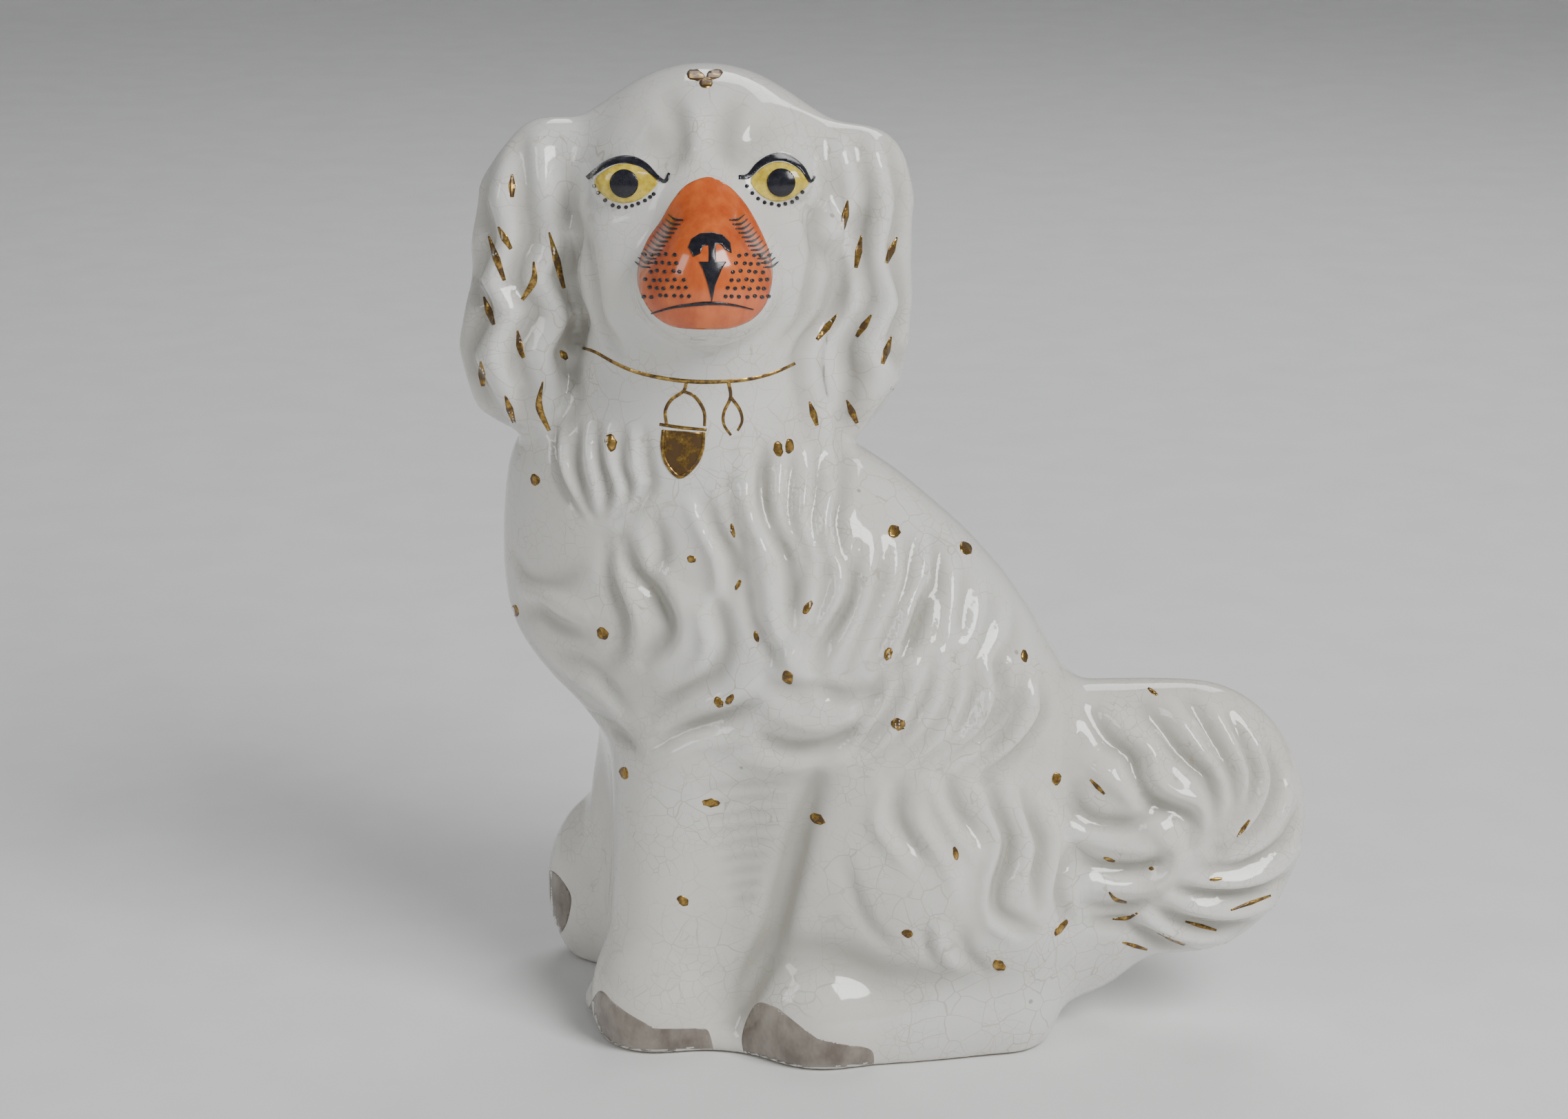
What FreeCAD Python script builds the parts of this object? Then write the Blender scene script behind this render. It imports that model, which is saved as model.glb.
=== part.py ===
"""Seated mantel spaniel in glazed earthenware: two press-moulded shell halves, a base slab,
the roll of clay that seals their seam, and the enamel and gilding fired onto the glaze.

Frame: +Z up, +X towards the tail, -Y towards the side the dog shows. The figure stands on Z = 0
with the origin under the middle of its bounding box. Millimetres.
"""

import FreeCAD, Part
import os

from FreeCAD import Vector

doc = FreeCAD.newDocument("MantelSpaniel")
sheet = doc.addObject("Spreadsheet::Sheet", "Dims")

# Driving dimensions that are not the place or size of one lump.
SIZES = {
    "wall": 5.0,             # pressed clay wall
    "slab": 6.0,             # base slab
    "roll": 2.5,             # clay roll over the seam, how far it stands off the wall
    "roll_width": 9.0,
    "parting": 5.0,          # Y of the plane where the mould's halves met
    "vent_radius": 4.0,      # hole in the base that let steam out in the kiln
    "vent_place": -45.0,     # its X
    "layer": 0.35,           # thickness of a coat of enamel or gilding
    "body_centre": 8.0,      # Y of the torso's middle
    "board": -45.0,          # Y of the upright plane the painted marks are laid out on
    "board_front": 42.0,     # how far the marks' prisms reach in front of the board
    "board_back": 52.0,      # and behind it
    "near_paw_back": 30.0,   # the same for the washes on the near paws
    "far_paw_back": 98.0,    # and on the far one
    "brush_slope": -0.24,    # drop of a mark for each millimetre it is carried back
    "hairline": 0.7,
    "pen_line": 1.1,
    "gilt_stroke": 1.8,
    "gilt_fleck": 2.6,
    "level_gap": 0.0001,     # a face no taller than this is level
    "room_reach": 400,       # half-width of the boxes that divide the figure
    "lash_sag": 2.2,         # of the row of lash dots at its middle
    "cleft": -58.8,          # X of the cleft in the lip
    "dot_start": 10,         # whisker dots: first column from the cleft, spacing, lowest row, slope of a row
    "dot_pitch": 4,
    "dot_height": 262,
    "dot_rise": 0.4,
    "hair_start": 9,         # whisker hairs: the same, then length, spread, slope of roots, shortening
    "hair_pitch": 1.7,
    "hair_height": 275,
    "hair_length": 5.5,
    "hair_fan": 1.5,
    "hair_rise": 0.3,
    "hair_fall": 1.1,
    "lid_stroke": 1.8,
    "whisker_dot": 0.6,      # radius
    "lash_dot": 0.55,        # radius
    "pupil": 4.1,            # radius
}

# Lumps the modeller built the figure from, each an ellipse spun about one axis: centre, axis, half-size
# along it and half-size across it.
LUMPS = {
    "head": ((-60.5, 0, 277), "Z", 45, 46.5),
    "jowls": ((-60.5, -3, 254), "Z", 34, 40),
    "muzzle": ((-60.5, -42, 265), "Z", 23.5, 25),
    "left_ear": ((-118.2, 4, 258), "Z", 51, 20.3),
    "right_ear": ((-11.5, 4, 255), "Z", 50, 17.5),
    "near_thigh": ((17.5, -24, 57), "Y", 32, 51),
    "far_thigh": ((17.5, 34, 57), "Y", 33, 51),
    "rump": ((40, 7, 45), "Z", 46, 40),
    "tail_root": ((72, 9, 86), "Y", 29, 37),
    "tail_curl": ((95.5, 9, 76), "Y", 27, 43),
    "near_foreleg": ((-72, -19, 62), "Z", 72, 22),
    "far_foreleg": ((-85, 38, 62), "Z", 72, 21),
    "near_forepaw": ((-77.5, -24, 13), "Z", 21, 22.5),
    "far_forepaw": ((-96, 46.5, 13), "Z", 21, 20.5),
    "near_hind_paw": ((-21, -32, 12), "Z", 20, 24),
    "near_hind_foot": ((18, -32, 12), "X", 42, 21),
    "far_hind_paw": ((-22, 46, 12), "X", 25, 20),
}
AXES = {"X": Vector(1, 0, 0), "Y": Vector(0, 1, 0), "Z": Vector(0, 0, 1)}
SOLID_LUMPS = {"muzzle", "left_ear", "right_ear", "tail_curl", "near_foreleg", "far_foreleg", "near_forepaw",
               "far_forepaw", "near_hind_paw", "near_hind_foot", "far_hind_paw"}
HEAD_LUMPS = ("head", "jowls", "muzzle")

# The torso and neck as ovals stacked up the figure: height, X of the middle, half-length, half-depth.
TORSO_OVALS = (
    ("foot", 0, -22.5, 72, 52),
    ("shin", 40, -17.5, 75, 55),
    ("knee", 80, -12.5, 77, 54),
    ("belly", 120, -22.5, 84, 53),
    ("breast", 150, -41.5, 86, 52),
    ("shoulder", 180, -57.5, 71.5, 50),
    ("throat", 205, -68.5, 55, 46),
    ("nape", 238, -62.5, 44, 39),
    ("poll", 264, -60.5, 34, 30),
)

# Marks, as points (X, Z) on the board.
MUZZLE_PATCH = ((-59.5, 297), (-67.5, 292), (-76.2, 278), (-80.8, 266), (-77.5, 255), (-68.5, 249.6),
                (-53, 249.6), (-43.5, 256.4), (-40.3, 265.2), (-42.5, 277.8), (-50, 291.2))
NOSE = ((-58.5, 279.3), (-65.5, 276), (-65.5, 272), (-60.5, 273), (-61.2, 270), (-59, 258), (-57, 270),
        (-57.6, 273), (-53, 272), (-52.5, 276))
MOUTH = ((-76, 255), (-67, 256.7), (-58.5, 257.6), (-50, 256.3), (-46, 255))
LEFT_EYE = ((-94.3, 293), (-88, 300), (-79, 299), (-73.8, 294), (-79, 289), (-88, 288.6))
RIGHT_EYE = ((-47.8, 294), (-43, 299.5), (-34, 299.6), (-28.5, 294), (-34, 289), (-42, 289))
LEFT_LID = ((-96.5, 296.6), (-91, 301), (-84.5, 302.3), (-78, 300.5), (-71.5, 295.5))
RIGHT_LID = ((-50.5, 297), (-45, 301.5), (-37.5, 303), (-32, 301), (-27.5, 296))
PUPILS = {"left": (-84.8, 294.3), "right": (-37, 295)}
COLLAR = ((-98, 243), (-87.5, 237.5), (-77.5, 234.3), (-58.5, 232.3), (-38, 236.4), (-32.8, 238.6))
PADLOCK_BODY = ((-74, 214.5), (-62, 214.5), (-62, 204), (-68, 199), (-74, 204))
PADLOCK_SHACKLE = ((-72, 218), (-72, 226), (-66.5, 229), (-61, 226), (-61, 218))
PADLOCK_BAR = ((-73.5, 216.8), (-59.5, 216.8))
CHAIN = ((-53.5, 226.5), (-56, 221), (-53.5, 216), (-50.5, 221))
EAR_STROKES = {
    "left": (((-119, 299), (-119, 291)), ((-124, 281.5), (-120, 274.5)), ((-126.5, 273), (-122, 262.5)),
             ((-108, 279), (-104, 262)), ((-113, 269), (-116.5, 258.5)), ((-128.5, 257), (-126, 248.5)),
             ((-118, 250.5), (-116.5, 240.5)), ((-129.5, 239), (-129.5, 231)), ((-122, 228), (-119.5, 219.7)),
             ((-110.5, 232), (-107, 216))),
    "right": (((-15.5, 288), (-16.5, 279.7)), ((-12, 276), (-13.5, 266)), ((-3.5, 277.5), (-5.5, 270)),
              ((-19.5, 253.5), (-25, 245.6)), ((-8.5, 253), (-12.5, 246.4)), ((-2.5, 246.6), (-5, 237.7)),
              ((-16.5, 226.6), (-13.5, 217.7)), ((-4.5, 230), (-5.5, 225.5))),
}
# Flecks: the middle of each, its length and its lean from upright in degrees.
CHEST_FLECKS = ((-89, 213, 6, 20), (-35.5, 210, 6, -15), (-114.5, 197.7, 5, 10), (-122, 154, 5, 0),
                (-93.5, 146.5, 6, 30), (-65.5, 171.3, 6, 0), (-52, 181, 6, 15), (-50.2, 162.5, 6, -30),
                (-45, 145, 5, 20), (-27.5, 155, 7, -20))
FLANK_FLECKS = ((-0.5, 180, 8, -40), (23, 170, 6, -40), (-2, 140, 6, -20), (-34, 131.7, 6, 15),
                (-54.5, 123, 7, 20), (1, 115.3, 5, -30), (42, 138.5, 6, -45))
LEG_FLECKS = ((-83, 98, 5, 10), (-67, 86, 5, 0), (-24.5, 82, 5, 15), (-70, 52.7, 5, 0), (46, 92, 6, -30),
              (20.5, 71, 6, 20), (5, 41, 5, 30), (35.5, 28.5, 6, -10), (56, 43, 5, -20))
TAIL_STROKES = (((67.5, 97), (67.5, 90)), ((114.5, 81), (114.5, 73)), ((74.5, 57), (74.5, 51)),
                ((80.5, 39), (80.5, 34)), ((92.5, 42), (92.5, 36)), ((102, 46), (102, 40)),
                ((119, 55), (119, 49)))
TOE_WASHES = {
    "far_forepaw_wash": ((-117, 44), (-114, 60), (-104, 64), (-106, 50), (-104, 42)),
    "near_forepaw_wash": ((-98, 6), (-100, 18), (-94, 22), (-88, 12), (-76, 8), (-62, 12), (-58, 8),
                          (-76, 2)),
    "near_hind_paw_wash": ((-44, 4), (-46, 14), (-40, 18), (-34, 8), (-18, 5), (-4, 9), (0, 5), (-20, 0)),
}

LASH_DOTS = 7                # under each eye
WHISKER_ROWS = 3             # rows, and dots in a row, on each side
WHISKER_HAIRS = 5            # on each side

# Pieces whose flat foot has to stay a plane, not a spline surface.
PLANE_FOOTED = ("base_slab",)


def fill_sheet():
    """Writes every driving dimension into the sheet, one row each, with its name as alias."""
    rows = dict(SIZES)
    for name, (centre, _, along, across) in LUMPS.items():
        rows.update(zip((name + "_cx", name + "_cy", name + "_cz"), centre))
        rows.update({name + "_along": along, name + "_across": across})
    for name, height, middle, length, depth in TORSO_OVALS:
        aliases = (f"{name}_height", f"{name}_cx", f"{name}_rx", f"{name}_ry")
        rows.update(zip(aliases, (height, middle, length, depth)))
    for row, (alias, value) in enumerate(rows.items(), start=1):
        sheet.set(f"A{row}", alias)
        sheet.set(f"B{row}", str(value))
        sheet.setAlias(f"B{row}", alias)
    doc.recompute()


def bind(item, **expressions):
    """Binds properties to sheet cells; a double underscore stands for the dot in a property path."""
    for prop, expression in expressions.items():
        item.setExpression(prop.replace("__", "."), expression)
    return item


def ellipsoid(name, tag, growth):
    """One lump: half an ellipse and its chord, spun about the chord, then turned to the lump's axis."""
    _, axis, along, across = LUMPS[name]
    arc = doc.addObject("Part::Ellipse", f"{name}_{tag}_arc")
    chord = doc.addObject("Part::Line", f"{name}_{tag}_chord")
    length = f"Dims.{name}_along + {growth}"
    width = f"Dims.{name}_across + {growth}"
    chord.Z2 = 0
    if along >= across:
        spin = AXES["X"]
        bind(arc, MajorRadius=length, MinorRadius=width, Angle1="0", Angle2="180")
        bind(chord, X1=f"-({length})", X2=length, Y1="0", Y2="0")
    else:
        spin = AXES["Y"]
        bind(arc, MajorRadius=width, MinorRadius=length, Angle1="90", Angle2="270")
        bind(chord, X1="0", X2="0", Y1=f"-({length})", Y2=length)
    outline = doc.addObject("Part::Compound", f"{name}_{tag}_outline")
    outline.Links = [arc, chord]
    lump = doc.addObject("Part::Revolution", f"{name}_{tag}")
    lump.Source = outline
    lump.Axis = spin
    lump.Angle = 360
    lump.Solid = True
    lump.Placement.Rotation = FreeCAD.Rotation(spin, AXES[axis])
    return bind(lump, Placement__Base__x=f"Dims.{name}_cx", Placement__Base__y=f"Dims.{name}_cy",
                Placement__Base__z=f"Dims.{name}_cz")


def torso(tag, growth):
    """The ovals lofted into one smooth body; growth moves its side walls, not its ends."""
    ovals = []
    for name, *_ in TORSO_OVALS:
        oval = doc.addObject("Part::Ellipse", f"{name}_{tag}")
        bind(oval, MajorRadius=f"Dims.{name}_rx + {growth}", MinorRadius=f"Dims.{name}_ry + {growth}",
             Placement__Base__x=f"Dims.{name}_cx", Placement__Base__y="Dims.body_centre",
             Placement__Base__z=f"Dims.{name}_height")
        ovals.append(oval)
    loft = doc.addObject("Part::Loft", f"torso_{tag}")
    loft.Sections = ovals
    loft.Solid = True
    return loft


def fused(name, pieces):
    union = doc.addObject("Part::MultiFuse", name)
    union.Shapes = pieces
    return union


def figure(tag, growth, lumps, with_torso=True):
    """The figure's lumps and torso fused, with their surface moved out by growth."""
    pieces = [ellipsoid(name, tag, growth) for name in lumps]
    if with_torso:
        pieces.append(torso(tag, growth))
    return fused(f"figure_{tag}", pieces)


def block(name, low, high):
    """A box between two corners given as expressions (X, Y, Z)."""
    box = doc.addObject("Part::Box", name)
    names = ("Length", "Width", "Height")
    sides = {side: f"({top}) - ({bottom})" for side, bottom, top in zip(names, low, high)}
    return bind(box, Placement__Base__x=low[0], Placement__Base__y=low[1], Placement__Base__z=low[2], **sides)


def cut(name, base, tool):
    result = doc.addObject("Part::Cut", name)
    result.Base = base
    result.Tool = tool
    return result


def common(name, base, tool):
    result = doc.addObject("Part::Common", name)
    result.Base = base
    result.Tool = tool
    return result


def on_board(point):
    return Vector(point[0], SIZES["board"], point[1])


def smooth_face(points):
    """A face inside a closed curve through the points."""
    curve = Part.BSplineCurve()
    curve.interpolate(Points=[on_board(p) for p in points], PeriodicFlag=True)
    return Part.Face(Part.Wire([curve.toShape()]))


def straight_face(points):
    corners = [on_board(p) for p in points]
    return Part.Face(Part.makePolygon(corners + corners[:1]))


def ribbon_face(points, width):
    """A face of one width along an open run of points."""
    near, far = [], []
    for index, (x, z) in enumerate(points):
        before = points[max(index - 1, 0)]
        after = points[min(index + 1, len(points) - 1)]
        along = Vector(after[0] - before[0], after[1] - before[1], 0).normalize()
        side = Vector(-along.y, along.x, 0) * (width / 2)
        near.append((x + side.x, z + side.y))
        far.append((x - side.x, z - side.y))
    return straight_face(near + far[::-1])


def ring_face(points, width):
    """A closed curve through the points, drawn with a line of one width."""
    centre = (sum(x for x, _ in points) / len(points), sum(z for _, z in points) / len(points))
    outer_points, inner_points = [], []
    for x, z in points:
        out = Vector(x - centre[0], z - centre[1], 0).normalize() * (width / 2)
        outer_points.append((x + out.x, z + out.y))
        inner_points.append((x - out.x, z - out.y))
    return smooth_face(outer_points).cut(smooth_face(inner_points))


def disc_face(centre, radius):
    return Part.Face(Part.Wire([Part.makeCircle(radius, on_board(centre), Vector(0, 1, 0))]))


def fleck_face(x, z, length, lean, width):
    """A brush fleck: a lens from end to end, leaning from upright."""
    turn = FreeCAD.Rotation(Vector(0, 0, 1), lean)
    outline = (Vector(0, length / 2), Vector(width / 2, 0), Vector(0, -length / 2), Vector(-width / 2, 0))
    corners = [turn.multVec(corner) for corner in outline]
    return smooth_face([(x + corner.x, z + corner.y) for corner in corners])


def prism(name, faces, back="board_back"):
    """Faces on the board carried through the figure's front, along the brush's slope."""
    marks = doc.addObject("Part::Feature", f"{name}_marks")
    marks.Shape = Part.makeCompound(faces)
    solid = doc.addObject("Part::Extrusion", f"{name}_prism")
    solid.Base = marks
    solid.DirMode = "Custom"
    solid.Dir = Vector(0, 1, SIZES["brush_slope"])
    solid.Solid = True
    return bind(solid, LengthFwd=f"Dims.{back}", LengthRev="Dims.board_front")


def clay_pieces(outer):
    """The fired clay: two shell halves on a base slab, and the roll that seals their seam."""
    hollow = [name for name in LUMPS if name not in SOLID_LUMPS]
    far = "Dims.room_reach"
    cavity = figure("cavity", "(-Dims.wall)", hollow)
    inner = figure("inner", "(-Dims.wall - Dims.roll)", hollow)
    walls = cut("walls", outer, cavity)
    front_room = block("front_room", (f"-{far}", f"-{far}", "Dims.slab"), (far, "Dims.parting", far))
    back_room = block("back_room", (f"-{far}", "Dims.parting", "Dims.slab"), (far, far, far))
    slab_room = block("slab_room", (f"-{far}", f"-{far}", "0"), (far, far, "Dims.slab"))
    roll_room = block("roll_room", (f"-{far}", "Dims.parting - Dims.roll_width / 2", "Dims.slab"),
                      (far, "Dims.parting + Dims.roll_width / 2", far))
    vent = doc.addObject("Part::Cylinder", "vent")
    bind(vent, Radius="Dims.vent_radius", Height="Dims.slab", Placement__Base__x="Dims.vent_place",
         Placement__Base__y="Dims.body_centre")
    roll = common("roll_strip", cavity, roll_room)
    return [common("front_shell", walls, front_room), common("back_shell", walls, back_room),
            cut("base_slab", common("slab_blank", outer, slab_room), vent), cut("seam_roll", roll, inner)]


def lash_dots(ends, count):
    """Dots along a sagging line under an eye."""
    (x0, z0), (x1, z1) = ends
    shares = [i / (count - 1) for i in range(count)]
    return [(x0 + (x1 - x0) * t, z0 + (z1 - z0) * t - SIZES["lash_sag"] * 4 * t * (1 - t)) for t in shares]


def whisker_rows():
    """Dots in three rows of three on each side of the lip's cleft."""
    start, pitch, height, rise = (SIZES[k] for k in ("dot_start", "dot_pitch", "dot_height", "dot_rise"))
    return [(SIZES["cleft"] + side * (start + pitch * column), height + pitch * row + rise * column)
            for side in (-1, 1) for row in range(WHISKER_ROWS) for column in range(WHISKER_ROWS)]


def whisker_hairs():
    """Short hairs fanned above the dots."""
    hairs = []
    for side in (-1, 1):
        for step in range(WHISKER_HAIRS):
            x = SIZES["cleft"] + side * (SIZES["hair_start"] + SIZES["hair_pitch"] * step)
            foot = SIZES["hair_height"] + SIZES["hair_rise"] * step
            tip = foot + SIZES["hair_length"] - SIZES["hair_fall"] * step
            hairs.append(((x, foot), (x + side * SIZES["hair_fan"], tip)))
    return hairs


def face_enamels(coat, top_coat):
    """Enamels on the face; the fine black work on the muzzle and eyes lies over the colour beneath it."""
    ribbon = SIZES["pen_line"]
    nodes = [common("muzzle_enamel", coat, prism("muzzle_enamel", [smooth_face(MUZZLE_PATCH)])),
             common("nose_enamel", top_coat, prism("nose_enamel", [straight_face(NOSE)])),
             common("mouth_line", top_coat, prism("mouth_line", [ribbon_face(MOUTH, ribbon)])),
             common("whisker_dots", top_coat, prism("whisker_dots", [disc_face(p, SIZES["whisker_dot"])
                                                                     for p in whisker_rows()])),
             common("whisker_hairs", top_coat, prism("whisker_hairs", [ribbon_face(p, SIZES["hairline"])
                                                                       for p in whisker_hairs()]))]
    eyes = {"left": (LEFT_EYE, LEFT_LID, ((-92, 287.2), (-77, 287.2))),
            "right": (RIGHT_EYE, RIGHT_LID, ((-45, 287.4), (-31, 287.4)))}
    for side, (almond, lid, lashes) in eyes.items():
        lid_prism = prism(f"{side}_eyelid", [ribbon_face(lid, SIZES["lid_stroke"])])
        iris_prism = cut(f"{side}_iris_opening", prism(f"{side}_iris", [smooth_face(almond)]), lid_prism)
        pupil_prism = prism(f"{side}_pupil", [disc_face(PUPILS[side], SIZES["pupil"])])
        dots = [disc_face(p, SIZES["lash_dot"]) for p in lash_dots(lashes, LASH_DOTS)]
        nodes += [common(f"{side}_iris", coat, iris_prism), common(f"{side}_pupil", top_coat, pupil_prism),
                  common(f"{side}_eyelid", coat, lid_prism),
                  common(f"{side}_lash_dots", coat, prism(f"{side}_lash_dots", dots))]
    return nodes


def gilding(coat):
    """Burnished gilding: collar line, padlock, chain, strokes on ears and tail, flecks on the coat."""
    stroke = SIZES["gilt_stroke"]
    marks = {
        "collar_gilding": [ribbon_face(COLLAR, SIZES["pen_line"])],
        "padlock_gilding": [straight_face(PADLOCK_BODY)],
        "padlock_shackle_gilding": [ribbon_face(PADLOCK_SHACKLE, SIZES["pen_line"]),
                                    ribbon_face(PADLOCK_BAR, SIZES["pen_line"])],
        "chain_gilding": [ring_face(CHAIN, SIZES["pen_line"])],
        "left_ear_gilding": [ribbon_face(line, stroke) for line in EAR_STROKES["left"]],
        "right_ear_gilding": [ribbon_face(line, stroke) for line in EAR_STROKES["right"]],
        "tail_gilding": [ribbon_face(line, stroke) for line in TAIL_STROKES],
    }
    for name, flecks in (("chest", CHEST_FLECKS), ("flank", FLANK_FLECKS), ("leg", LEG_FLECKS)):
        marks[f"{name}_gilding"] = [fleck_face(*fleck, SIZES["gilt_fleck"]) for fleck in flecks]
    return [common(name, coat, prism(name, faces)) for name, faces in marks.items()]


def toe_washes(coat):
    nodes = []
    for name, outline in TOE_WASHES.items():
        reach = "far_paw_back" if name.startswith("far") else "near_paw_back"
        nodes.append(common(name, coat, prism(name, [smooth_face(outline)], reach)))
    return nodes


def clipped_to_ground(figure_shape):
    far = "Dims.room_reach"
    above = block(f"{figure_shape.Name}_above", (f"-{far}", f"-{far}", "0"), (far, far, far))
    return common(figure_shape.Name + "_standing", figure_shape, above)


def level(face):
    return face.BoundBox.ZLength < SIZES["level_gap"]


def plane_face(face):
    """A level face, holes and all, laid on a true plane from its bare curves."""
    wires = []
    for wire in face.Wires:
        wires.append(Part.Wire([Part.Edge(edge.Curve, edge.FirstParameter, edge.LastParameter)
                                for edge in wire.OrderedEdges]))
    return Part.Face(wires, "Part::FaceMakerBullseye")


def on_true_planes(shape):
    """The solid with its level faces as planes, so that what it rests on is flat and not a spline."""
    shell = Part.makeShell([plane_face(face) if level(face) else face for face in shape.Faces])
    shell.sewShape()
    return Part.makeSolid(shell)


def problems(nodes):
    """Objects FreeCAD marked as failed, and sub-parts without a valid solid."""
    found = [item.Name for item in doc.Objects if {"Invalid", "Error"} & set(item.State)]
    for node in nodes:
        shape = node.Shape
        if shape.isNull() or not shape.isValid() or not shape.Solids:
            found.append(node.Label)
    return found


def main():
    fill_sheet()
    outer = clipped_to_ground(figure("outer", "0", LUMPS))
    coated = clipped_to_ground(figure("coated", "Dims.layer", LUMPS))
    coat = cut("coat", coated, outer)
    top_coat = cut("top_coat", figure("face_second", "2 * Dims.layer", HEAD_LUMPS, with_torso=False),
                   figure("face_first", "Dims.layer", HEAD_LUMPS, with_torso=False))
    nodes = clay_pieces(outer) + face_enamels(coat, top_coat) + gilding(coat) + toe_washes(coat)
    doc.recompute()
    for node in nodes:
        node.Label = node.Name
    failed = problems(nodes)
    if failed:
        raise RuntimeError(f"failed: {failed}")
    os.makedirs("parts", exist_ok=True)
    for node in nodes:
        shape = node.Shape.toNurbs()
        if node.Label in PLANE_FOOTED:
            shape = on_true_planes(shape)
        shape.exportStep(os.path.join("parts", f"{node.Label}.step"))


main()
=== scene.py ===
"""Looks of a seated mantel spaniel in glazed, enamelled and gilded earthenware.

The body is sculpted as a distance field of soft lumps, meshed once, and its curled coat is pressed in and
pulled out along drawn strands. The painted marks are thin coats laid on that surface. The figure's lengths
are in millimetres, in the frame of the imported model. The floor, the lights and the materials are in metres.
"""

import math
import random

import bmesh
import bpy
import numpy as np
import openvdb
from mathutils import Matrix, Vector
from mathutils.bvhtree import BVHTree
from mathutils.geometry import delaunay_2d_cdt


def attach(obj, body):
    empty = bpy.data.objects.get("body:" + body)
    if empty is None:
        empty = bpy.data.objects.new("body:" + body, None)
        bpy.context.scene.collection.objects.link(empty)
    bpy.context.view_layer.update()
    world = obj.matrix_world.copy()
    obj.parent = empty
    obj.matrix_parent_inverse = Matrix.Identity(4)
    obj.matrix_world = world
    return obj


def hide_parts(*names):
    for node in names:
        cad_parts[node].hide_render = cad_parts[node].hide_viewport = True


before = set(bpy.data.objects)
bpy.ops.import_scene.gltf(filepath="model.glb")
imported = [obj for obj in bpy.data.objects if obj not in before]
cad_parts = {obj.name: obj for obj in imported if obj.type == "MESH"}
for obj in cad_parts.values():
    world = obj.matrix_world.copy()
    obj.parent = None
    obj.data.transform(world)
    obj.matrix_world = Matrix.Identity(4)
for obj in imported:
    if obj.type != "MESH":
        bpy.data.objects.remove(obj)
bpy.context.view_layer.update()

MM = 0.001
VOXEL = 1.25                              # grid step of the sculpted body
EMPTY = 60.0                              # distance written where there is nothing yet
EYE = np.array((-36.0, -1136.0, 521.0))   # where the figure is seen and drawn from
BOARD = -35.0                             # Y of the upright drawing board in front of it


def on_board(x, z):
    return np.array((x, BOARD, z))


def behind(x, z, y):
    """The point at depth Y on the sight line through a point of the board."""
    return EYE + (on_board(x, z) - EYE) * ((y - EYE[1]) / (BOARD - EYE[1]))


# ---- Body: a distance field built up lump by lump ----

class Field:
    """A signed distance field on a regular grid, negative inside."""

    def __init__(self, low, high, step):
        self.low = np.array(low, dtype=float)
        self.step = step
        self.axes = [np.arange(a, b, step, dtype=np.float32) for a, b in zip(low, high)]
        self.value = np.full([len(axis) for axis in self.axes], EMPTY, dtype=np.float32)

    def window(self, low, high):
        """Grid slices and coordinates of the part of the grid between two corners."""
        cut = tuple(slice(max(0, int((a - o) / self.step) - 1), max(0, int((b - o) / self.step) + 2))
                    for a, b, o in zip(low, high, self.low))
        x, y, z = (axis[s] for axis, s in zip(self.axes, cut))
        return cut, x[:, None, None], y[None, :, None], z[None, None, :]

    def add(self, low, high, distance, soft):
        """Joins a lump given by a distance function, with a fillet of about the soft length."""
        margin = soft + 6
        cut, x, y, z = self.window(np.array(low) - margin, np.array(high) + margin)
        here, new = self.value[cut], distance(x, y, z)
        mix = np.clip(0.5 + 0.5 * (here - new) / soft, 0, 1)
        self.value[cut] = here + (new - here) * mix - soft * mix * (1 - mix)

    def carve(self, low, high, distance, soft):
        """Takes a lump away, with a rounded edge."""
        margin = soft + 6
        cut, x, y, z = self.window(np.array(low) - margin, np.array(high) + margin)
        here, new = self.value[cut], -distance(x, y, z)
        mix = np.clip(0.5 - 0.5 * (here - new) / soft, 0, 1)
        self.value[cut] = here + (new - here) * mix + soft * mix * (1 - mix)

    def blob(self, centre, radii, soft=8.0, lean=0.0, turn=0.0):
        """An ellipsoid; lean tips it in the XZ plane, turn swings it in the XY plane, in degrees."""
        swing = Matrix.Rotation(math.radians(turn), 3, "Z")
        tip = Matrix.Rotation(math.radians(lean), 3, "Y")
        rows = np.array((swing @ tip).transposed(), dtype=np.float32)
        reach = max(radii)

        def distance(x, y, z):
            dx, dy, dz = x - centre[0], y - centre[1], z - centre[2]
            local = [(row[0] * dx + row[1] * dy + row[2] * dz) / r for row, r in zip(rows, radii)]
            near = np.sqrt(sum(v * v for v in local)) + 1e-6
            slope = np.sqrt(sum((v / r) ** 2 for v, r in zip(local, radii))) + 1e-6
            return near * (near - 1) / slope

        self.add([c - reach for c in centre], [c + reach for c in centre], distance, soft)

    def limb(self, start, end, start_radius, end_radius, soft=8.0):
        """A tapered rod with round ends."""
        a, b = np.array(start, dtype=np.float32), np.array(end, dtype=np.float32)
        along = b - a
        reach = max(start_radius, end_radius)

        def distance(x, y, z):
            dx, dy, dz = x - a[0], y - a[1], z - a[2]
            t = np.clip((dx * along[0] + dy * along[1] + dz * along[2]) / along.dot(along), 0, 1)
            gap = np.sqrt((dx - t * along[0]) ** 2 + (dy - t * along[1]) ** 2 + (dz - t * along[2]) ** 2)
            return gap - start_radius - (end_radius - start_radius) * t

        self.add(np.minimum(a, b) - reach, np.maximum(a, b) + reach, distance, soft)

    def mesh(self):
        """Vertices and quads of the zero surface, in millimetres."""
        grid = openvdb.FloatGrid(EMPTY)
        grid.copyFromArray(self.value)
        points, quads = grid.convertToQuads(0.0)
        return points * self.step + self.low, quads


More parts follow.
